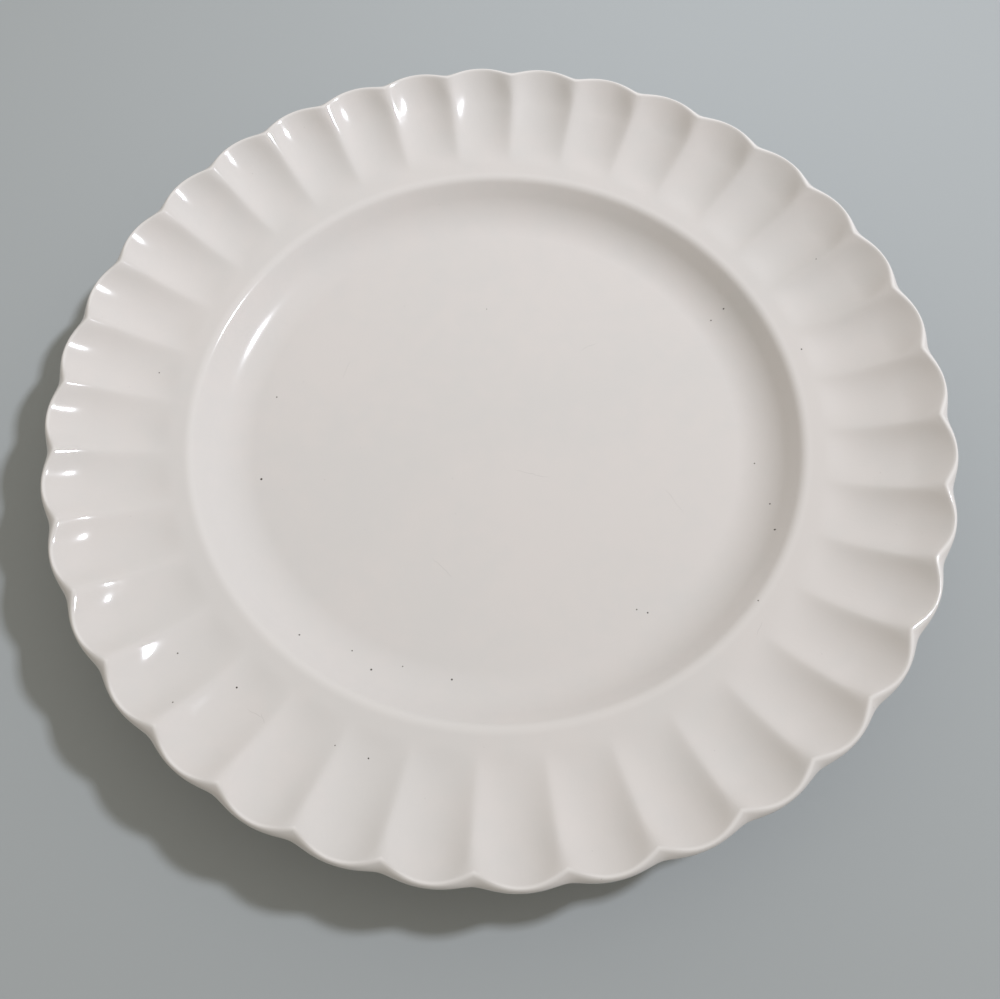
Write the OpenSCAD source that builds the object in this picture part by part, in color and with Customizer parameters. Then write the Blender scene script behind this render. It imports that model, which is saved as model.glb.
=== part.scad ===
// Scalloped dessert plate: a flat well, a coved shoulder, a fluted rim, a scalloped lip and a foot ring.
// Millimetres. The plate stands on z = 0, its axis is z, and the middle of one flute lies on the x axis.

/* [Plate] */
// Width across opposite lobes of the lip
plate_d = 203; // [185:1:225]
// Width of the rim with its lip, from the shoulder's crest to the outline
rim_w = 29.8; // [26:0.2:34]
// Number of flutes round the rim
flute_count = 36; // [28:1:44]

/* [Body] */
// Thickness of the floor, the shoulder and the root of the rim
body_t = 4; // [3:0.1:5]
// Depth of the well's floor below the shoulder's crest
well_depth = 7.3; // [5:0.1:9]
// Radius of the cove between the floor and the shoulder's wall
cove_r = 14.3; // [6:0.1:20]
// Slope of the shoulder's wall
wall_a = 44; // [35:1:60]
// Radius of the rounding along the shoulder's crest
crest_r = 3.2; // [1.5:0.1:4]
// Radius of the fillet under the crest
under_r = 3; // [1:0.1:4]
// Run of the shoulder from its crest to the rim
crest_run = 3; // [2.6:0.1:5]

/* [Rim] */
// Rise of the ridges at the lip above the shoulder's crest
rim_rise = 9; // [7:0.1:12]
// Slope of the rim at the shoulder
rim_a = 5; // [0:1:15]
// Thickness of the rim where the lip begins, at a ridge
rim_t = 3.8; // [3.2:0.1:5]
// Depth of a flute below its ridges
flute_depth = 0.9; // [0.5:0.1:1.8]
// Run over which a flute ends in the lip
flute_end = 8.4; // [5:0.1:12]

/* [Lip] */
// Height of the lip from its lowest line to its top between two ridges
lip_t = 3; // [2.4:0.1:4]
// Drop of the lip's top between two ridges
lip_drop = 0.5; // [0.1:0.1:1.5]
// Distance from the outline in to the lip's top
top_in = 0.8; // [0.4:0.1:1.5]
// Depth of the scallops along the lip's top
top_notch = 2.5; // [0.9:0.1:3]
// Depth of the scallops in the outline
side_notch = 1.05; // [0.3:0.05:2]
// Distance from the outline in to the lip's lowest line
under_in = 1; // [0.6:0.1:2]

/* [Foot] */
// Height of the foot ring
foot_h = 2; // [1.6:0.1:3]
// Width of the flat that the plate stands on
foot_flat_w = 2.2; // [1.5:0.1:4]
// Radius of the foot's lower edges
foot_edge_r = 0.7; // [0.4:0.1:0.8]
// Radius of the coves that join the foot to the floor
foot_cove_r = 0.8; // [0.4:0.1:0.8]

/* [Hidden] */

glaze_colour = [0.86, 0.84, 0.82];
fired_colour = [0.80, 0.76, 0.70];

// Heights above the plane that the plate stands on
floor_z = foot_h + body_t;
crest_z = floor_z + well_depth;
top_z = crest_z + rim_rise;
side_z = top_z - lip_drop - lip_t / 2;
under_z = top_z - lip_drop - lip_t;

// Radius of the shoulder's crest
crest_x = plate_d / 2 - rim_w;

// The cove is limited by the wall that it runs into
wall_rise = well_depth - crest_r * (cos(rim_a) - cos(wall_a));
cove = min(cove_r, wall_rise / (1 - cos(wall_a)));
wall_run = (wall_rise - cove * (1 - cos(wall_a))) / tan(wall_a);
well_r = crest_x - crest_r * (sin(wall_a) - sin(rim_a)) - wall_run - cove * sin(wall_a);

// Where the rim begins
rim_r = crest_x + crest_run * cos(rim_a);
rim_z = crest_z + crest_run * sin(rim_a);

// Foot, all of it under the flat of the floor
foot_side = foot_flat_w / 2 + foot_edge_r;
foot_root = foot_side + foot_cove_r;
foot_r = well_r - foot_root;

// Share of the rim's run over which the flutes get most of their depth
deep_share = 0.19;
// How fast a flute closes along its end: below 1 it closes sooner
end_power = 0.83;
// How square a flute's end is: 2 is round
end_square = 2.6;
// Softness of a ridge's crest and of the scallops' corners, as shares of half a flute
crest_soft_share = 0.13;
notch_soft_share = 0.22;
// Share of a flute's depth that shows on the rim's underside
back_share = 0.4;
// Bulge of the lip's outer face at a lobe and at a notch, as shares of a quarter round
lobe_bulge_share = 1;
notch_bulge_share = 0.55;

// Places of the sections across half a flute, from its middle to the ridge
half_shares = [0, 0.38, 0.68, 0.88, 1];
// Places of the rings along the rim's top and underside, and along a flute's end
rim_top_shares = [0, 0.12, 0.27, 0.45, 0.7, 1];
rim_under_shares = [1, 0.55, 0.25, 0];
end_shares = [0, 0.35, 0.6, 0.8, 0.92, 1];
lip_round_shares = [0.4, 0.75, 1];

arc_steps = 8;
foot_steps = 5;
round_fn = 180;

// Points of an arc round c, from angle a0 to angle a1
function arc(c, r, a0, a1, n) = [for (i = [0:n]) let (a = a0 + (a1 - a0) * i / n) c + r * [cos(a), sin(a)]];

// A scoop's depth at q half flutes from its middle: 1 at the middle, fading softly to 0 past 1
function scoop(q, soft) = let (t = (1 - q + sqrt(pow(1 - q, 2) + pow(soft, 2))) / 2) 1 - pow(1 - t, 2);

// How far a place lies from a flute's middle, u across and v along: the flute's end is a little squared
function away(u, v) = pow(pow(abs(u), end_square) + pow(abs(v), end_square), 1 / end_square);

// Two neighbouring scoops, u across from a flute's middle to the ridge and v along into its end
function scoops(u, v, soft) = scoop(away(u, v), soft) + scoop(away(2 - u, v), soft);

// 1 along the middle of a flute and 0 on its ridges and at its end
function hollow(u, v) =
    let (s = crest_soft_share, ridge = scoops(1, 0, s))
    (scoops(u, pow(v, end_power), s) - v * scoops(u, 1, s) - (1 - v) * ridge) / (scoops(0, 0, s) - ridge);

// 0 at a lobe's tip and 1 in the notch beside it
function notch(u) =
    let (s = notch_soft_share, tip = scoops(0, 0, s))
    (tip - scoops(u, 0, s)) / (tip - scoops(1, 0, s));

// Share of its depth that a flute has at share s of the rim's run: a soft start, and 1 at the lip
function deepening(s) = (1 + pow(deep_share, 2)) * pow(s, 2) / (pow(s, 2) + pow(deep_share, 2));

// The lip's top, its outline and its lowest line
function lip_top(u) = [plate_d / 2 - top_in - top_notch * notch(u), top_z - lip_drop * (1 - notch(u))];
function lip_side(u) = [plate_d / 2 - side_notch * notch(u), side_z];
function lip_under(u) = [plate_d / 2 - under_in - side_notch * notch(u), under_z];

// Slope of the ridge line at share s of the rim's run, and the point there, before fluting
function rim_slope(s, u) =
    let (d = lip_top(u) - [rim_r, rim_z])
    atan(tan(rim_a) + 2 * s * (d.y / d.x - tan(rim_a)));
function rim_point(s, u) =
    let (d = lip_top(u) - [rim_r, rim_z], first = d.x * tan(rim_a))
    [rim_r + d.x * s, rim_z + first * s + (d.y - first) * s * s];

// Share of the run at which a flute begins to end
function end_share(u) = 1 - flute_end / (lip_top(u).x - rim_r);

// How far a flute dips at share s, with v along its end
function dip(s, u, v) = flute_depth * deepening(s) * hollow(u, v);

// Top and underside of the rim and of a flute's end
function top_point(s, u, v) = rim_point(s, u) - [0, dip(s, u, v)];
function under_point(s, u) =
    let (t = body_t + (rim_t - body_t) * s / end_share(u), a = rim_slope(s, u))
    rim_point(s, u) + t * [sin(a), -cos(a)] - [0, back_share * dip(s, u, 0)];

// Sections of the rim and of the lip, as closed outlines of radius and height
function rim_section(u) =
    let (e = end_share(u))
    concat([for (k = rim_top_shares) top_point(e * k, u, 0)], [for (k = rim_under_shares) under_point(e * k, u)]);
function lip_section(u) =
    let (e = end_share(u), top = lip_top(u), side = lip_side(u), low = lip_under(u))
    let (bulge = lobe_bulge_share + (notch_bulge_share - lobe_bulge_share) * notch(u))
    concat(
        [for (v = end_shares) top_point(e + (1 - e) * v, u, v)],
        [for (k = lip_round_shares) quarter(top, side, [side.x, top.y], k, bulge)],
        [for (k = lip_round_shares) quarter(side, low, [side.x, low.y], k, 1)],
        [under_point(e, u)]);

// A point at share k of the way from a to b, on a quarter ellipse that turns at corner
function quarter(a, b, corner, k, bulge) =
    let (line = a + (b - a) * k, round = a + (corner - a) * sin(90 * k) + (b - corner) * (1 - cos(90 * k)))
    line + (round - line) * bulge;

// Places of the sections round one flute, from just past one ridge to the next
turn_shares = concat([for (i = [len(half_shares) - 2:-1:1]) -half_shares[i]], half_shares);

// A ring lofted through the sections of every flute, its first outline given as a list for each place
module fluted_ring(sections) {
    per_flute = len(turn_shares);
    turns = per_flute * flute_count;
    n = len(sections[0]);
    points = [for (k = [0:turns - 1])
        let (a = (floor(k / per_flute) + turn_shares[k % per_flute] / 2) * 360 / flute_count)
        for (p = sections[k % per_flute]) [p.x * cos(a), p.x * sin(a), p.y]];
    faces = [for (k = [0:turns - 1], i = [0:n - 1])
        let (a = k * n + i, b = k * n + (i + 1) % n)
        let (c = (k + 1) % turns * n + (i + 1) % n, d = (k + 1) % turns * n + i)
        for (f = [[a, c, b], [a, d, c]]) f];
    polyhedron(points, faces);
}

module well() {
    color(glaze_colour) translate([0, 0, foot_h]) cylinder(r = well_r, h = body_t, $fn = round_fn);
}

module shoulder() {
    crest_c = [crest_x + crest_r * sin(rim_a), crest_z - crest_r * cos(rim_a)];
    cove_c = [well_r, floor_z + cove];
    mid_a = (rim_a + wall_a) / 2;
    under_c = crest_c + (body_t - crest_r + under_r) / cos(wall_a - mid_a) * [sin(mid_a), -cos(mid_a)];
    color(glaze_colour) rotate_extrude($fn = round_fn) polygon(concat(
        arc(cove_c, cove, -90, wall_a - 90, arc_steps),
        arc(crest_c, crest_r, wall_a + 90, rim_a + 90, arc_steps),
        [[rim_r, rim_z], [rim_r, rim_z] + body_t * [sin(rim_a), -cos(rim_a)]],
        arc(under_c, under_r, rim_a + 90, wall_a + 90, arc_steps),
        arc(cove_c, cove + body_t, wall_a - 90, -90, arc_steps)));
}

module rim() {
    color(glaze_colour) fluted_ring([for (t = turn_shares) rim_section(abs(t))]);
}

module lip() {
    color(glaze_colour) fluted_ring([for (t = turn_shares) lip_section(abs(t))]);
}

module foot_ring() {
    color(fired_colour) rotate_extrude($fn = round_fn) polygon(concat(
        arc([foot_r + foot_root, foot_h - foot_cove_r], foot_cove_r, 90, 180, foot_steps),
        arc([foot_r + foot_flat_w / 2, foot_edge_r], foot_edge_r, 0, -90, foot_steps),
        arc([foot_r - foot_flat_w / 2, foot_edge_r], foot_edge_r, -90, -180, foot_steps),
        arc([foot_r - foot_root, foot_h - foot_cove_r], foot_cove_r, 0, 90, foot_steps)));
}

well();
shoulder();
rim();
lip();
foot_ring();
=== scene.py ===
from math import atan2, cos, hypot, pi, radians, sin, sqrt, tan

import bpy
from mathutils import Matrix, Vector


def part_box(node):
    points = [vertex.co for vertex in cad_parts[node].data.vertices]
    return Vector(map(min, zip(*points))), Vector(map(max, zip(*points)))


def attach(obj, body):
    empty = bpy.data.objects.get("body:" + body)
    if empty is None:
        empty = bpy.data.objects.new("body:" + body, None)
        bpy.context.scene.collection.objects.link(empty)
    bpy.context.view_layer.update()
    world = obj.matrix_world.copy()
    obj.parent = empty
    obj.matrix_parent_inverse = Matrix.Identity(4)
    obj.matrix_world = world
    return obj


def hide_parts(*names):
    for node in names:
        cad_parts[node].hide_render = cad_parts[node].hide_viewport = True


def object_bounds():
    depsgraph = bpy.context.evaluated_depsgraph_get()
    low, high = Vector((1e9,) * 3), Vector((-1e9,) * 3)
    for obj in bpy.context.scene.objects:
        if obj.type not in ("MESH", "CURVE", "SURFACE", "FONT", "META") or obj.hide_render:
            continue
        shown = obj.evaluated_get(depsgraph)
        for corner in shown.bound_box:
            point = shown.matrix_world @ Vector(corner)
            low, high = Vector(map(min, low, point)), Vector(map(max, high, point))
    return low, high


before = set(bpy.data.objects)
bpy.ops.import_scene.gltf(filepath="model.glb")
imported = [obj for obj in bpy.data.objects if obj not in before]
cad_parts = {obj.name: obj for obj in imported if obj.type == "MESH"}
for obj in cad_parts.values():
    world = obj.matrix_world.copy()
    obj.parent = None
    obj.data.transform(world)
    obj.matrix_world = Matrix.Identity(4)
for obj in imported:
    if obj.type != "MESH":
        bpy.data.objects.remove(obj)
modelLow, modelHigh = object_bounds()
mm = 0.001
print("frame loaded:", len(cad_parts), "nodes")


# Camera, at the height, distance and tilt that the photograph was taken from

cameraPlace = {
    "stands": (-6.1, -111.2, 226.5),   # millimetres
    "looksAt": (-5.7, 5.9, -0.2),
    "roll": -2.05,                     # degrees
    "sensor": 36.0,
    "lens": 37.34,
    "shiftX": 0.0287,
    "shiftY": -0.0792,
    "nearest": 10.0,                   # millimetres, nothing closer is drawn
}


def makeCamera():
    place = Vector(cameraPlace["stands"])
    look = Vector(cameraPlace["looksAt"]) - place
    facing = look.to_track_quat("-Z", "Y").to_euler()
    bpy.ops.object.camera_add(location=place * mm, rotation=facing)
    camera = bpy.context.object
    camera.name = "photoCamera"
    camera.rotation_euler.rotate_axis("Z", radians(cameraPlace["roll"]))
    camera.data.sensor_width = cameraPlace["sensor"]
    camera.data.lens = cameraPlace["lens"]
    camera.data.shift_x = cameraPlace["shiftX"]
    camera.data.shift_y = cameraPlace["shiftY"]
    camera.data.clip_start = cameraPlace["nearest"] * mm
    bpy.context.scene.camera = camera


makeCamera()
print("camera placed")


# Helpers for materials

def opaque(colour):
    return (*colour, 1)


def newMaterial(name):
    material = bpy.data.materials.new(name)
    material.use_nodes = True
    return material, material.node_tree, material.node_tree.nodes["Principled BSDF"]


def feedSockets(tree, made, feeds):
    for socket, value in feeds.items():
        if isinstance(value, bpy.types.NodeSocket):
            tree.links.new(value, made.inputs[socket])
        else:
            made.inputs[socket].default_value = value


def addNode(tree, kind, feeds=None, **settings):
    made = tree.nodes.new("ShaderNode" + kind)
    for key, value in settings.items():
        setattr(made, key, value)
    feedSockets(tree, made, feeds or {})
    return made


def newGroup(name, inputs, outputs):
    tree = bpy.data.node_groups.new(name, "ShaderNodeTree")
    for way, sockets in (("INPUT", inputs), ("OUTPUT", outputs)):
        for label, kind in sockets.items():
            tree.interface.new_socket(name=label, in_out=way, socket_type="NodeSocket" + kind)
    given = tree.nodes.new("NodeGroupInput").outputs
    return tree, given, tree.nodes.new("NodeGroupOutput").inputs


def placeGroup(tree, group, feeds):
    made = tree.nodes.new("ShaderNodeGroup")
    made.node_tree = group
    feedSockets(tree, made, feeds)
    return made.outputs


def maths(tree, operation, first, second=0.0, third=0.0):
    return addNode(tree, "Math", {0: first, 1: second, 2: third}, operation=operation).outputs[0]


def vectorMaths(tree, operation, first, second=(0, 0, 0)):
    made = addNode(tree, "VectorMath", {0: first, 1: second}, operation=operation)
    return made.outputs["Value" if operation in ("DISTANCE", "DOT_PRODUCT", "LENGTH") else "Vector"]


def graded(tree, value, low, high, bottom=0.0, top=1.0):
    feeds = {"Value": value, "From Min": low, "From Max": high, "To Min": bottom, "To Max": top}
    return addNode(tree, "MapRange", feeds, interpolation_type="SMOOTHSTEP").outputs["Result"]


def blended(tree, factor, first, second):
    feeds = {"Factor": factor, "A": first, "B": second}
    return addNode(tree, "Mix", feeds, data_type="RGBA").outputs["Result"]


def noise(tree, place, scale, detail, roughness=0.5):
    feeds = {"Vector": place, "Scale": scale, "Detail": detail, "Roughness": roughness}
    return addNode(tree, "TexNoise", feeds).outputs["Fac"]


# Light and floor

studioValues = {
    "lampTurn": 15.0,              # degrees from the x axis
    "lampHeight": 51.5,            # degrees above the floor
    "lampDistance": 1.45,          # metres, as are the other lengths here
    "lampAim": (0.045, 0.15, 0.0),
    "lampSpread": 57.0,            # degrees
    "lampSize": 0.11,
    "lampPower": 1.36,
    "lampColour": (0.955, 1.0, 1.09),
    "fillFrom": (0.0, 1.0, 0.0),
    "fillBright": (0.55, 0.535, 0.49),
    "fillDim": (0.325, 0.305, 0.262),
    "floorColour": (0.43, 0.452, 0.46),
    "floorRoughness": 0.9,
    "floorSize": 6.0,
}


def makeLamp():
    turn, height = radians(studioValues["lampTurn"]), radians(studioValues["lampHeight"])
    towards = Vector((cos(turn) * cos(height), sin(turn) * cos(height), sin(height)))
    place = towards * studioValues["lampDistance"]
    aim = (place - Vector(studioValues["lampAim"])).to_track_quat("Z", "Y").to_euler()
    bpy.ops.object.light_add(type="AREA", location=place, rotation=aim)
    lamp = bpy.context.object
    lamp.name = "studioLamp"
    lamp.data.shape = "SQUARE"
    lamp.data.size = studioValues["lampSize"]
    lamp.data.spread = radians(studioValues["lampSpread"])
    lamp.data.energy = studioValues["lampPower"]
    lamp.data.color = studioValues["lampColour"]


def makeFill():    # the room is brighter on the side that the fill comes from
    world = bpy.data.worlds.new("studioFill")
    world.use_nodes = True
    tree = world.node_tree
    direction = addNode(tree, "TexCoord").outputs["Generated"]
    source = Vector(studioValues["fillFrom"]).normalized()
    along = vectorMaths(tree, "DOT_PRODUCT", direction, source)
    share = addNode(tree, "MapRange", {"Value": along, "From Min": -1.0}).outputs["Result"]
    dim, bright = opaque(studioValues["fillDim"]), opaque(studioValues["fillBright"])
    colour = blended(tree, share, dim, bright)
    tree.links.new(colour, tree.nodes["Background"].inputs["Color"])
    bpy.context.scene.world = world


def makeFloor():
    bpy.ops.mesh.primitive_plane_add(size=studioValues["floorSize"])
    floor = bpy.context.object
    floor.name = "paleFloor"
    material, tree, shader = newMaterial("floorPaper")
    shader.inputs["Base Color"].default_value = opaque(studioValues["floorColour"])
    shader.inputs["Roughness"].default_value = studioValues["floorRoughness"]
    floor.data.materials.append(material)


makeLamp()
makeFill()
makeFloor()
bpy.context.scene.view_settings.view_transform = "Standard"
print("studio ready")


# Sizes of the plate: the flat parts come from the frame, the rest is in millimetres

wellLow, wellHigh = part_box("well")
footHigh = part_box("foot_ring")[1]
bodyValues = {
    "outline": modelHigh.x / mm,       # radius across the lobes
    "top": modelHigh.z / mm,
    "wellRadius": wellHigh.x / mm,
    "floorTop": wellHigh.z / mm,
    "floorUnder": wellLow.z / mm,
    "rimWidth": 29.8,
    "wellDepth": 7.3,
    "coveRadius": 14.3,
    "wallSlope": 44.0,                 # degrees
    "crestRadius": 3.2,
    "underRadius": 3.0,
    "crestRun": 3.0,
    "rimSlope": 5.0,
}
fluteValues = {
    "count": 36,
    "depth": 0.9,
    "endRun": 8.4,
    "endPower": 0.83,
    "endSquare": 3.5,
    "deepShare": 0.19,
    "crestSoft": 0.13,                 # how soft a ridge is near the shoulder
    "crestKeen": 0.07,                 # and near the lip
    "keenSpan": (0.42, 0.76),          # shares of the rim between the two
    "notchSoft": 0.22,
    "backShare": 0.4,
    "rimThick": 3.8,
    "lag": 0.37,                       # degrees that the ridges lie behind the lip's notches
    "lagRadii": (66.0, 76.0, 92.0, 99.0),
}
lipValues = {
    "thick": 3.0,
    "drop": 0.5,
    "topIn": 0.8,
    "topNotch": 2.5,
    "sideNotch": 1.05,
    "underIn": 1.0,
    "lobeBulge": 1.0,
    "notchBulge": 0.55,
}

bodyThick = bodyValues["floorTop"] - bodyValues["floorUnder"]
rimTilt = radians(bodyValues["rimSlope"])
wallTilt = radians(bodyValues["wallSlope"])
crestPoint = (bodyValues["outline"] - bodyValues["rimWidth"],
              bodyValues["floorTop"] + bodyValues["wellDepth"])
rimStart = (crestPoint[0] + bodyValues["crestRun"] * cos(rimTilt),
            crestPoint[1] + bodyValues["crestRun"] * sin(rimTilt))
lobeTop = bodyValues["top"] - lipValues["drop"]


def eased(share):    # 0 to 1, with a soft start and stop
    share = min(1, max(0, share))
    return share * share * (3 - 2 * share)


# Form of one flute: u is 0 along its middle and 1 on its ridges, v runs from 0 to 1 over its end

def away(u, v):      # distance from a flute's middle, with the flute's end a little squared
    power = fluteValues["endSquare"]
    return (abs(u) ** power + abs(v) ** power) ** (1 / power)


def scoop(distance, soft):
    t = (1 - distance + sqrt((1 - distance) ** 2 + soft ** 2)) / 2
    return 1 - (1 - t) ** 2


def scoops(u, v, soft):
    return scoop(away(u, v), soft) + scoop(away(2 - u, v), soft)


def crestSoftness(s):
    first, last = fluteValues["keenSpan"]
    change = fluteValues["crestKeen"] - fluteValues["crestSoft"]
    return fluteValues["crestSoft"] + change * eased((s - first) / (last - first))


def hollow(u, v, soft):    # 1 along the middle of a flute, 0 on its ridges and at its end
    ridge = scoops(1, 0, soft)
    level = scoops(u, v ** fluteValues["endPower"], soft)
    return (level - v * scoops(u, 1, soft) - (1 - v) * ridge) / (scoops(0, 0, soft) - ridge)


def notch(u):        # 0 at a lobe's tip, 1 in the notch beside it
    soft = fluteValues["notchSoft"]
    tip = scoops(0, 0, soft)
    return (tip - scoops(u, 0, soft)) / (tip - scoops(1, 0, soft))


def lipTop(u):
    return (bodyValues["outline"] - lipValues["topIn"] - lipValues["topNotch"] * notch(u),
            lobeTop + lipValues["drop"] * notch(u))


def lipSide(u):
    return (bodyValues["outline"] - lipValues["sideNotch"] * notch(u),
            lobeTop - lipValues["thick"] / 2)


def lipUnder(u):
    return lipSide(u)[0] - lipValues["underIn"], lobeTop - lipValues["thick"]


def ridgeLine(s, u):    # radius, height and slope of the unfluted rim, s of the way to the lip
    top = lipTop(u)
    run, rise = top[0] - rimStart[0], top[1] - rimStart[1]
    first = run * tan(rimTilt)
    height = rimStart[1] + first * s + (rise - first) * s * s
    return rimStart[0] + run * s, height, atan2(first + 2 * (rise - first) * s, run)


def endShare(u):     # where a flute's end starts
    return 1 - fluteValues["endRun"] / (lipTop(u)[0] - rimStart[0])


def dip(s, u, v):
    share = fluteValues["deepShare"] ** 2
    depth = fluteValues["depth"] * (1 + share) * s * s / (s * s + share)
    return depth * hollow(u, v, crestSoftness(s))


def rimTop(s, u, v):
    radius, height = ridgeLine(s, u)[:2]
    return radius, height - dip(s, u, v)


def rimUnder(s, u):
    radius, height, slope = ridgeLine(s, u)
    thick = bodyThick + (fluteValues["rimThick"] - bodyThick) * s / endShare(u)
    drop = thick * cos(slope) + fluteValues["backShare"] * dip(s, u, 0)
    return radius + thick * sin(slope), height - drop


# Paths of points, as pairs of radius and height

guardWidth = 0.03    # millimetres


def mixed(a, b, share):
    return a[0] + (b[0] - a[0]) * share, a[1] + (b[1] - a[1]) * share


def shares(count):
    return [i / count for i in range(count + 1)]


def arc(centre, radius, start, stop, steps):
    turns = [radians(start + (stop - start) * k) for k in shares(steps)]
    return [(centre[0] + radius * cos(t), centre[1] + radius * sin(t)) for t in turns]


def quarter(a, b, corner, bulge, steps):    # a curve from a to b, bulging towards the corner
    out = []
    for k in shares(steps)[1:]:
        ahead, aside = sin(k * pi / 2), 1 - cos(k * pi / 2)
        bow = [a[i] + (corner[i] - a[i]) * ahead + (b[i] - corner[i]) * aside for i in (0, 1)]
        out.append(mixed(mixed(a, b, k), bow, bulge))
    return out


def swept(a, b, towards, steps):    # a curve that leaves a in the direction of towards, to b
    whole = hypot(b[0] - a[0], b[1] - a[1])
    bend = mixed(a, towards, whole / hypot(towards[0] - a[0], towards[1] - a[1]) / 2)
    return [mixed(mixed(a, bend, k), mixed(bend, b, k), k) for k in shares(steps)[1:]]


def respaced(points, spots):    # points at the given shares of the path's length
    along = [0.0]
    for a, b in zip(points, points[1:]):
        along.append(along[-1] + hypot(b[0] - a[0], b[1] - a[1]))
    out, i = [], 0
    for spot in spots:
        goal = along[-1] * spot
        while i < len(points) - 2 and along[i + 1] < goal:
            i += 1
        share = min(1, (goal - along[i]) / (along[i + 1] - along[i]))
        out.append(mixed(points[i], points[i + 1], share))
    return out


def smoothed(points, steps, rounds):    # in even steps, with its corners rounded
    points = respaced(points, shares(steps))
    for _ in range(rounds):
        threes = zip(points, points[1:], points[2:])
        inner = [mixed(b, mixed(a, c, 0.5), 0.5) for a, b, c in threes]
        points = [points[0]] + inner + [points[-1]]
    return points


def guarded(path):    # a narrow step at each end keeps the shading even across a joint
    first, last = path[0], path[-1]
    start = guardWidth / hypot(path[1][0] - first[0], path[1][1] - first[1])
    stop = guardWidth / hypot(path[-2][0] - last[0], path[-2][1] - last[1])
    near, far = mixed(first, path[1], start), mixed(last, path[-2], stop)
    return [first, near] + path[1:-1] + [far, last]


# Section of each ring, from its inner top edge round to its inner underside

rimSteps = {
    "top": 52,
    "under": 22,
}


def rimSection(u):
    end = endShare(u)
    top = [rimTop(end * k, u, 0) for k in shares(rimSteps["top"])]
    under = [rimUnder(end * k, u) for k in reversed(shares(rimSteps["under"]))]
    return guarded(top) + guarded(under)


lipSteps = {
    "hollow": 60,
    "edge": 20,
    "under": 40,
    "back": 0.01,          # share of the rim over which its underside's direction is taken
    "trace": 240,
    "soften": 4,           # rounds of smoothing over the edges
    # shares of the section and mesh steps over each, closest together over the rounded edge
    "spans": ((0.43, 26), (0.07, 28), (0.12, 20), (0.38, 16)),
}


def lipSection(u):
    end, top, side, under = endShare(u), lipTop(u), lipSide(u), lipUnder(u)
    lobe, dent = lipValues["lobeBulge"], lipValues["notchBulge"]
    bulge = lobe + (dent - lobe) * notch(u)
    root, before = rimUnder(end, u), rimUnder(end - lipSteps["back"], u)
    ahead = (2 * root[0] - before[0], 2 * root[1] - before[1])
    path = [rimTop(end + (1 - end) * v, u, v) for v in shares(lipSteps["hollow"])]
    path += quarter(top, side, (side[0], top[1]), bulge, lipSteps["edge"])
    path += quarter(side, under, (side[0], under[1]), 1, lipSteps["edge"])
    path += list(reversed(swept(root, under, ahead, lipSteps["under"])))[1:] + [root]
    path = smoothed(path, lipSteps["trace"], lipSteps["soften"])
    spots, start = [0.0], 0.0
    for span, steps in lipSteps["spans"]:
        spots += [start + span * k for k in shares(steps)[1:]]
        start += span
    return guarded(respaced(path, spots))


shoulderSteps = {
    "cove": 48,
    "crest": 24,
    "fold": 16,
    "bowl": 40,
    "trace": 200,
    "soften": 12,
    "top": 56,
    "under": 22,
}


def shoulderSection(u):    # the same all round
    radius = bodyValues["crestRadius"]
    crestCentre = (crestPoint[0] + radius * sin(rimTilt), crestPoint[1] - radius * cos(rimTilt))
    rise = bodyValues["wellDepth"] - radius * (cos(rimTilt) - cos(wallTilt))
    cove = min(bodyValues["coveRadius"], rise / (1 - cos(wallTilt)))
    coveCentre = (bodyValues["wellRadius"], bodyValues["floorTop"] + cove)
    halfTilt = (rimTilt + wallTilt) / 2
    reach = (bodyThick - radius + bodyValues["underRadius"]) / cos(wallTilt - halfTilt)
    foldCentre = (crestCentre[0] + reach * sin(halfTilt), crestCentre[1] - reach * cos(halfTilt))
    wall, rim = bodyValues["wallSlope"], bodyValues["rimSlope"]
    top = arc(coveCentre, cove, -90, wall - 90, shoulderSteps["cove"])
    top += arc(crestCentre, radius, wall + 90, rim + 90, shoulderSteps["crest"]) + [rimStart]
    under = [(rimStart[0] + bodyThick * sin(rimTilt), rimStart[1] - bodyThick * cos(rimTilt))]
    foldRadius, foldSteps = bodyValues["underRadius"], shoulderSteps["fold"]
    under += arc(foldCentre, foldRadius, rim + 90, wall + 90, foldSteps)
    under += arc(coveCentre, cove + bodyThick, wall - 90, -90, shoulderSteps["bowl"])
    top = smoothed(top, shoulderSteps["trace"], shoulderSteps["soften"])
    under = smoothed(under, shoulderSteps["trace"], shoulderSteps["soften"])
    top = respaced(top, shares(shoulderSteps["top"]))
    under = respaced(under, shares(shoulderSteps["under"]))
    return guarded(top) + guarded(under)


footValues = {
    "flat": 2.2,
    "edge": 0.7,
    "cove": 0.8,
    "arcSteps": 9,
}


def footSection(u):    # the same all round
    flat, edge, cove = footValues["flat"] / 2, footValues["edge"], footValues["cove"]
    steps, height = footValues["arcSteps"], footHigh.z / mm
    root = flat + edge + cove
    middle = footHigh.x / mm - root
    path = arc((middle + root, height - cove), cove, 90, 180, steps)
    path += arc((middle + flat, edge), edge, 0, -90, steps)
    path += arc((middle - flat, edge), edge, -90, -180, steps)
    path += arc((middle - root, height - cove), cove, 0, 90, steps)
    return path


# Pieces

meshValues = {
    "fluteSteps": 24,      # mesh steps in each flute
    "gather": 0.6,         # how far the steps gather at the ridges
    "merge": 0.003,        # millimetres within which neighbouring flutes are joined
    "wellInset": 8.0,
    "sharp": 40.0,         # degrees from which an edge is shaded as one
}
pitch = 2 * pi / fluteValues["count"]


def gathered(t):    # steps across a flute, closer together at its ridges
    return t + meshValues["gather"] * sin(pi * t) / pi


def onlyActive():
    piece = bpy.context.object
    bpy.ops.object.select_all(action="DESELECT")
    piece.select_set(True)
    return piece


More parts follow.
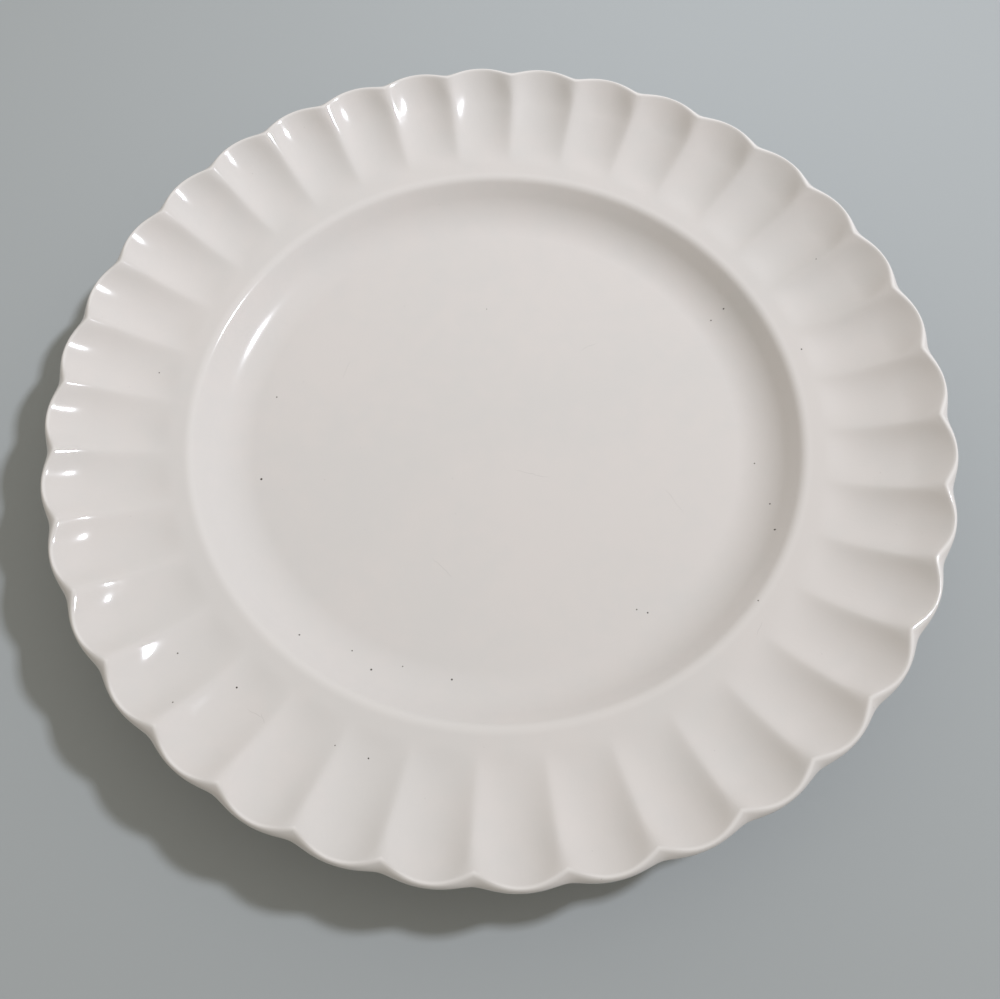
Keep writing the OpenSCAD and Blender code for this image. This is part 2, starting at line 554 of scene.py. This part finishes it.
def finishPiece(piece, node, material):
    bpy.ops.object.mode_set(mode="EDIT")
    bpy.ops.mesh.select_all(action="SELECT")
    bpy.ops.mesh.normals_make_consistent(inside=False)
    bpy.ops.object.mode_set(mode="OBJECT")
    bpy.ops.object.shade_smooth_by_angle(angle=radians(meshValues["sharp"]))
    piece.data.materials.append(material)
    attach(piece, "root")
    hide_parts(node)
    print(piece.name, "has", len(piece.data.polygons), "faces")


def lagging(r):    # turn of a place on the rim, 0 at the shoulder and at the lip
    inner, full, last, outer = fluteValues["lagRadii"]
    coming = min(1, max(0, (r - inner) / (full - inner)))
    going = min(1, max(0, (outer - r) / (outer - last)))
    return -radians(fluteValues["lag"]) * eased(coming * going)


def spunRing(name, section):    # one flute is spun and pressed in, then repeated round the plate
    steps, points = meshValues["fluteSteps"], section(1.0)
    bpy.ops.object.select_all(action="DESELECT")
    bpy.ops.mesh.primitive_circle_add(vertices=len(points), radius=mm)
    ring = onlyActive()
    ring.name = name
    station = ring.data.attributes.new("station", "INT", "POINT")
    for i, (vertex, (r, z)) in enumerate(zip(ring.data.vertices, points)):
        vertex.co = (r * mm * cos(pitch / 2), -r * mm * sin(pitch / 2), z * mm)
        station.data[i].value = i
    bpy.ops.object.mode_set(mode="EDIT")
    bpy.ops.mesh.select_all(action="SELECT")
    bpy.ops.mesh.spin(steps=steps, angle=-pitch, center=(0, 0, 0), axis=(0, 0, 1))
    bpy.ops.object.mode_set(mode="OBJECT")

    station = ring.data.attributes["station"].data
    sections = {}
    for i, vertex in enumerate(ring.data.vertices):
        step = round(atan2(vertex.co.y, vertex.co.x) / pitch * steps)
        t = gathered(2 * step / steps)
        if step not in sections:
            sections[step] = section(min(1.0, abs(t)))
        r, z = sections[step][station[i].value]
        turn = t * pitch / 2 + lagging(r)
        vertex.co = (r * mm * cos(turn), r * mm * sin(turn), z * mm)
    ring.data.attributes.remove(ring.data.attributes["station"])

    bpy.ops.object.empty_add(rotation=(0, 0, pitch))
    turner = bpy.context.object
    repeat = ring.modifiers.new("repeat", "ARRAY")
    repeat.count = fluteValues["count"]
    repeat.use_relative_offset = False
    repeat.use_object_offset = True
    repeat.offset_object = turner
    repeat.use_merge_vertices = True
    repeat.use_merge_vertices_cap = True
    repeat.merge_threshold = meshValues["merge"] * mm
    turner.select_set(False)
    ring.select_set(True)
    bpy.context.view_layer.objects.active = ring
    bpy.ops.object.modifier_apply(modifier="repeat")
    bpy.data.objects.remove(turner)
    return ring


def wellDisc(name):    # its edge has the same steps as the shoulder round it
    count = fluteValues["count"] * meshValues["fluteSteps"]
    radius, top = bodyValues["wellRadius"] * mm, bodyValues["floorTop"] * mm
    bpy.ops.object.select_all(action="DESELECT")
    bpy.ops.mesh.primitive_circle_add(vertices=count, radius=radius, fill_type="NGON")
    disc = onlyActive()
    disc.name = name
    for vertex in disc.data.vertices:
        angle = atan2(vertex.co.y, vertex.co.x)
        k = round(angle / pitch)
        angle = (k + gathered(2 * (angle / pitch - k)) / 2) * pitch
        vertex.co = (radius * cos(angle), radius * sin(angle), top)
    bpy.ops.object.mode_set(mode="EDIT")
    bpy.ops.mesh.select_all(action="SELECT")
    downward = {"value": (0, 0, -bodyThick * mm)}
    bpy.ops.mesh.extrude_region_move(TRANSFORM_OT_translate=downward)
    bpy.ops.mesh.inset(thickness=guardWidth * mm)
    bpy.ops.mesh.inset(thickness=meshValues["wellInset"] * mm)
    bpy.ops.object.mode_set(mode="OBJECT")
    return disc


# Finishes, all of them read from the plate's own coordinates

speckValues = {
    # places on the plate and radius, all in millimetres
    "spots": (
        (-55.2, -10.6, 6.0, 0.25), (-55.7, -60.8, 14.3, 0.185), (-29.0, -56.5, 7.4, 0.205),
        (-12.0, -59.0, 6.3, 0.2), (-28.7, -75.7, 14.0, 0.16), (31.0, -46.1, 6.0, 0.175),
        (60.5, -29.6, 10.5, 0.2), (58.2, 29.9, 8.5, 0.185), (53.4, -46.5, 13.3, 0.14),
        (-44.3, -48.8, 8.8, 0.175), (-68.2, -53.5, 15.2, 0.15), (28.7, -45.3, 6.0, 0.145),
        (73.5, 14.4, 13.6, 0.175), (-52.7, 11.1, 6.0, 0.165), (61.0, -22.7, 8.7, 0.17),
        (55.1, 27.8, 6.7, 0.165), (-33.2, -52.1, 6.7, 0.15), (-67.2, -64.3, 18.4, 0.15),
        (-35.3, -73.1, 14.6, 0.12), (-22.4, -55.8, 6.3, 0.13), (59.7, -11.7, 6.6, 0.15),
        (-79.4, 14.6, 13.9, 0.15), (80.4, 37.8, 17.2, 0.13), (-0.7, 34.2, 6.0, 0.11),
    ),
    "edge": (1.35, 0.65),    # a speck fades out between these shares of its radius
    "scatter": 5.0,          # millimetres between the faint specks
    "scatterRadius": 0.17,
    "scatterEdge": (1.0, 0.5),
    "flat": 0.15,            # heights count this much, so that a speck always meets the surface
    "colour": (0.045, 0.035, 0.028),
}


def pinSpecks():
    marks = {"Dark": "Float", "Faint": "Float"}
    tree, given, out = newGroup("pinSpecks", {"Vector": "Vector"}, marks)
    flat, (outer, inner) = speckValues["flat"], speckValues["edge"]
    place = vectorMaths(tree, "MULTIPLY", given["Vector"], (1, 1, flat))
    dark = None
    for x, y, z, radius in speckValues["spots"]:
        apart = vectorMaths(tree, "DISTANCE", place, (x * mm, y * mm, z * flat * mm))
        spot = graded(tree, apart, radius * mm * outer, radius * mm * inner)
        dark = maths(tree, "MAXIMUM", dark, spot) if dark else spot
    tree.links.new(dark, out["Dark"])
    feeds = {"Vector": given["Vector"], "Scale": 1 / (speckValues["scatter"] * mm)}
    cells = addNode(tree, "TexVoronoi", feeds).outputs
    size = speckValues["scatterRadius"] / speckValues["scatter"]
    outer, inner = speckValues["scatterEdge"]
    near = graded(tree, cells["Distance"], size * outer, size * inner)
    kept = addNode(tree, "SeparateColor", {"Color": cells["Color"]}).outputs["Red"]
    tree.links.new(maths(tree, "MULTIPLY", near, kept), out["Faint"])
    return tree


reliefValues = {
    # scale, detail and roughness of each noise
    "waves": (130.0, 1.0, 0.45),
    "ripple": (700.0, 2.0, 0.55),
    "streaks": (1.0, 1.0, 0.5),
    "streaksRound": 210.0,         # noise cells to a radian, which makes the streaks fine
    "streaksOutward": 240.0,       # noise cells to a metre, which makes them long
    "streaksFrom": (74.0, 82.0),   # millimetres from the middle over which they come in
}


def glazeRelief():    # broad waves, fine ripple, and streaks that run along the flutes
    inputs = {"Vector": "Vector", "Waves": "Float", "Ripple": "Float",
              "Streaks": "Float", "Pits": "Float"}
    tree, given, out = newGroup("glazeRelief", inputs, {"Height": "Float"})
    place = given["Vector"]
    waves = noise(tree, place, *reliefValues["waves"])
    ripple = noise(tree, place, *reliefValues["ripple"])

    flat = vectorMaths(tree, "MULTIPLY", place, (1, 1, 0))
    outward = vectorMaths(tree, "NORMALIZE", flat)
    radius = vectorMaths(tree, "LENGTH", flat)
    feeds = {0: outward, "Scale": reliefValues["streaksRound"]}
    around = addNode(tree, "VectorMath", feeds, operation="SCALE").outputs["Vector"]
    rise = maths(tree, "MULTIPLY", radius, reliefValues["streaksOutward"])
    rise = addNode(tree, "CombineXYZ", {"Z": rise}).outputs["Vector"]
    streaks = noise(tree, vectorMaths(tree, "ADD", around, rise), *reliefValues["streaks"])
    start, full = reliefValues["streaksFrom"]
    streaks = maths(tree, "MULTIPLY", streaks, graded(tree, radius, start * mm, full * mm))

    height = maths(tree, "MULTIPLY", waves, given["Waves"])
    height = maths(tree, "MULTIPLY_ADD", ripple, given["Ripple"], height)
    height = maths(tree, "MULTIPLY_ADD", streaks, given["Streaks"], height)
    tree.links.new(maths(tree, "SUBTRACT", height, given["Pits"]), out["Height"])
    return tree


thinGlazeAndHighlightValues = {
    # millimetres over which each pale line fades, across it and below it
    # the lip's line is thinner glaze and also a painted highlight along its top edge
    "lipAcross": (0.7, 0.1),
    "lipHeights": (19.5, 21.0),
    "crestAcross": (1.6, 0.2),
    "crestHeights": (11.0, 12.5),
    "crestIn": 0.6,
    "crestWeight": 0.35,
}


def thinGlazeAndEdgeHighlight():    # pale lines along the shoulder's crest and the lip's top, where the glaze lies thinner; along the lip's top edge the line is also a painted highlight
    tree, given, out = newGroup("thinGlazeAndEdgeHighlight", {"Vector": "Vector"}, {"ThinAndHighlight": "Float"})
    part = addNode(tree, "SeparateXYZ", {"Vector": given["Vector"]}).outputs
    square = maths(tree, "MULTIPLY", part["Y"], part["Y"])
    radius = maths(tree, "SQRT", maths(tree, "MULTIPLY_ADD", part["X"], part["X"], square))

    def lineAt(place, across, heights):
        aside = maths(tree, "ABSOLUTE", maths(tree, "SUBTRACT", radius, place))
        line = graded(tree, aside, *(width * mm for width in across))
        return maths(tree, "MULTIPLY", line, graded(tree, part["Z"], *(z * mm for z in heights)))

    turn = maths(tree, "ARCTAN2", part["Y"], part["X"])
    turn = maths(tree, "MULTIPLY", turn, fluteValues["count"] / pi)
    across = maths(tree, "PINGPONG", turn, 1.0)
    across = maths(tree, "MULTIPLY", across, across)
    lobeRadius = (bodyValues["outline"] - lipValues["topIn"]) * mm
    scallop = maths(tree, "MULTIPLY_ADD", across, -lipValues["topNotch"] * mm, lobeRadius)
    # painted highlight along the lip's top edge, over thinner glaze
    lip = lineAt(scallop, thinGlazeAndHighlightValues["lipAcross"], thinGlazeAndHighlightValues["lipHeights"])
    crestRadius = (crestPoint[0] - thinGlazeAndHighlightValues["crestIn"]) * mm
    crest = lineAt(crestRadius, thinGlazeAndHighlightValues["crestAcross"], thinGlazeAndHighlightValues["crestHeights"])
    crest = maths(tree, "MULTIPLY", crest, thinGlazeAndHighlightValues["crestWeight"])
    tree.links.new(maths(tree, "MAXIMUM", lip, crest), out["ThinAndHighlight"])
    return tree


toneValues = {
    "broad": (22.0, 2.0),          # scale and detail
    "fine": (170.0, 2.0),
    "fineShare": 0.35,
    "contrast": (0.36, 0.64),
}


def glazeTone():    # faint clouds between two close tones
    inputs = {"Vector": "Vector", "Cool": "Color", "Warm": "Color", "Pale": "Color",
              "ThinAndHighlight": "Float"}
    tree, given, out = newGroup("glazeTone", inputs, {"Colour": "Color"})
    broad = noise(tree, given["Vector"], *toneValues["broad"])
    fine = noise(tree, given["Vector"], *toneValues["fine"])
    broad = maths(tree, "MULTIPLY", broad, 1 - toneValues["fineShare"])
    cloud = maths(tree, "MULTIPLY_ADD", fine, toneValues["fineShare"], broad)
    cloud = graded(tree, cloud, *toneValues["contrast"])
    colour = blended(tree, cloud, given["Cool"], given["Warm"])
    # pale lines of thinner glaze, with a painted highlight along the lip's top edge
    tree.links.new(blended(tree, given["ThinAndHighlight"], colour, given["Pale"]), out["Colour"])
    return tree


scratchValues = {
    # middle, turn in degrees and length of each fine scratch, in millimetres
    "lines": (
        (-51.6, -66.3, 14.9, -30.0, 4.6), (-49.9, -67.4, 14.8, -70.0, 2.6),
        (52.5, -52.5, 14.2, 60.0, 3.8), (-13.5, -34.0, 6.0, -48.0, 7.0),
        (24.0, 22.0, 6.0, 25.0, 5.5), (8.0, -12.0, 6.0, -15.0, 9.0),
        (-36.0, 18.0, 6.0, 70.0, 6.0), (40.0, -20.0, 6.0, -60.0, 8.0),
    ),
    "width": 0.08,
    "wander": (420.0, 1.0),      # scale and detail
    "wanderWidth": 0.5,
    "depths": (1.6, 1.4),        # a scratch fades out at these heights above and below its middle
}


def fineScratches():
    tree, given, out = newGroup("fineScratches", {"Vector": "Vector"}, {"Line": "Float"})
    wander = noise(tree, given["Vector"], *scratchValues["wander"])
    wander = maths(tree, "MULTIPLY_ADD", wander, 2.0, -1.0)
    width, (deep, shallow) = scratchValues["width"], scratchValues["depths"]
    lines = None
    for x, y, z, turn, length in scratchValues["lines"]:
        local = vectorMaths(tree, "SUBTRACT", given["Vector"], (x * mm, y * mm, z * mm))
        feeds = {"Vector": local, "Angle": radians(-turn)}
        local = addNode(tree, "VectorRotate", feeds, rotation_type="Z_AXIS").outputs["Vector"]
        part = addNode(tree, "SeparateXYZ", {"Vector": local}).outputs
        aside = maths(tree, "MULTIPLY_ADD", wander, scratchValues["wanderWidth"] * mm, part["Y"])
        offsets = aside, part["X"], part["Z"]
        aside, along, above = (maths(tree, "ABSOLUTE", offset) for offset in offsets)
        line = graded(tree, aside, width * mm, 0.0)
        line = maths(tree, "MULTIPLY", line, graded(tree, along, length * mm / 2, length * mm / 4))
        line = maths(tree, "MULTIPLY", line, graded(tree, above, deep * mm, shallow * mm))
        lines = maths(tree, "MAXIMUM", lines, line) if lines else line
    tree.links.new(lines, out["Line"])
    return tree


glazeValues = {
    "cool": (0.732, 0.697, 0.674),
    "warm": (0.757, 0.71, 0.684),
    # colour of the pale lines, which along the lip's top edge is a painted highlight
    "pale": (0.83, 0.79, 0.765),
    "gloss": 0.045,                # roughness where the glaze is clean
    "smear": 0.075,                # roughness where it has been wiped
    "wiped": (45.0, 3.0),          # scale and detail of the wiped places
    "wipedContrast": (0.42, 0.62),
    "haze": 0.2,                   # weight of the wide soft glow round the highlights
    "hazeRoughness": 0.15,
    "waves": 0.016,                # heights in millimetres
    "ripple": 0.007,
    "streaks": 0.005,
    "pit": 0.02,
    "faintSpecks": 0.2,            # how dark the fainter marks are
    "scratches": 0.22,
    "scratchRoughness": 0.3,
}
groupMakers = (pinSpecks, glazeRelief, thinGlazeAndEdgeHighlight, glazeTone, fineScratches)
groups = {make.__name__: make() for make in groupMakers}


def glazeMaterial(name):
    material, tree, shader = newMaterial(name)
    place = addNode(tree, "TexCoord").outputs["Object"]
    specks = placeGroup(tree, groups["pinSpecks"], {"Vector": place})
    # pale lines of thinner glaze, with a painted highlight along the lip's top edge
    thinAndHighlight = placeGroup(tree, groups["thinGlazeAndEdgeHighlight"], {"Vector": place})["ThinAndHighlight"]
    line = placeGroup(tree, groups["fineScratches"], {"Vector": place})["Line"]
    colour = placeGroup(tree, groups["glazeTone"], {
        "Vector": place, "ThinAndHighlight": thinAndHighlight, "Cool": opaque(glazeValues["cool"]),
        "Warm": opaque(glazeValues["warm"]), "Pale": opaque(glazeValues["pale"])})["Colour"]
    faint = maths(tree, "MULTIPLY", specks["Faint"], glazeValues["faintSpecks"])
    scratched = maths(tree, "MULTIPLY", line, glazeValues["scratches"])
    marks = maths(tree, "MAXIMUM", specks["Dark"], maths(tree, "MAXIMUM", faint, scratched))
    colour = blended(tree, marks, colour, opaque(speckValues["colour"]))
    tree.links.new(colour, shader.inputs["Base Color"])

    wiped, (low, high) = noise(tree, place, *glazeValues["wiped"]), glazeValues["wipedContrast"]
    rough = graded(tree, wiped, low, high, glazeValues["gloss"], glazeValues["smear"])
    rough = maths(tree, "MULTIPLY_ADD", line, glazeValues["scratchRoughness"], rough)
    tree.links.new(rough, shader.inputs["Roughness"])

    pits = maths(tree, "MULTIPLY", specks["Dark"], glazeValues["pit"])
    height = placeGroup(tree, groups["glazeRelief"], {
        "Vector": place, "Waves": glazeValues["waves"], "Ripple": glazeValues["ripple"],
        "Streaks": glazeValues["streaks"], "Pits": pits})["Height"]
    bump = addNode(tree, "Bump", {"Height": height, "Distance": mm, "Strength": 1.0})
    tree.links.new(bump.outputs["Normal"], shader.inputs["Normal"])
    shader.inputs["Coat Weight"].default_value = glazeValues["haze"]
    shader.inputs["Coat Roughness"].default_value = glazeValues["hazeRoughness"]
    return material


clayValues = {
    "clay": (0.62, 0.55, 0.47),
    "worn": (0.42, 0.37, 0.32),
    "grain": (2600.0, 3.0),        # scale and detail
    "stain": (90.0, 4.0),
    "grainShare": 0.4,
    "contrast": (0.4, 0.62),
    "glazeLine": (0.75, 0.65),     # heights in millimetres between which the glaze ends
    "lineWander": 0.5,
    "roughness": 0.75,             # more than the glaze has
    "glazeThick": 0.05,
    "grainHeight": 0.03,
}


def footMaterial(name):
    material, tree, shader = newMaterial(name)
    place = addNode(tree, "TexCoord").outputs["Object"]
    glaze = placeGroup(tree, groups["glazeTone"], {
        "Vector": place, "ThinAndHighlight": 0.0, "Cool": opaque(glazeValues["cool"]),
        "Warm": opaque(glazeValues["warm"])})["Colour"]
    grain = noise(tree, place, *clayValues["grain"])
    stain = noise(tree, place, *clayValues["stain"])
    wear = maths(tree, "MULTIPLY", stain, 1 - clayValues["grainShare"])
    wear = maths(tree, "MULTIPLY_ADD", grain, clayValues["grainShare"], wear)
    wear = graded(tree, wear, *clayValues["contrast"])
    clay = blended(tree, wear, opaque(clayValues["clay"]), opaque(clayValues["worn"]))

    height = addNode(tree, "SeparateXYZ", {"Vector": place}).outputs["Z"]
    line = maths(tree, "MULTIPLY_ADD", stain, clayValues["lineWander"] * mm, height)
    bare = graded(tree, line, *(z * mm for z in clayValues["glazeLine"]))
    tree.links.new(blended(tree, bare, glaze, clay), shader.inputs["Base Color"])
    rough = maths(tree, "MULTIPLY_ADD", bare, clayValues["roughness"], glazeValues["gloss"])
    tree.links.new(rough, shader.inputs["Roughness"])

    lift = maths(tree, "MULTIPLY", grain, bare)
    lift = maths(tree, "MULTIPLY", lift, clayValues["grainHeight"])
    lift = maths(tree, "MULTIPLY_ADD", bare, -clayValues["glazeThick"], lift)
    bump = addNode(tree, "Bump", {"Height": lift, "Distance": mm, "Strength": 1.0})
    tree.links.new(bump.outputs["Normal"], shader.inputs["Normal"])
    return material


whiteGlaze = glazeMaterial("whiteGlaze")
bareFoot = footMaterial("bareFoot")
print("finishes ready:", len(groups), "groups")


# The plate, from the middle outwards

finishPiece(wellDisc("glazedWell"), "well", whiteGlaze)
finishPiece(spunRing("standingRing", footSection), "foot_ring", bareFoot)
finishPiece(spunRing("covedShoulder", shoulderSection), "shoulder", whiteGlaze)
finishPiece(spunRing("flutedRim", rimSection), "rim", whiteGlaze)
finishPiece(spunRing("scallopedLip", lipSection), "lip", whiteGlaze)
print("plate ready")
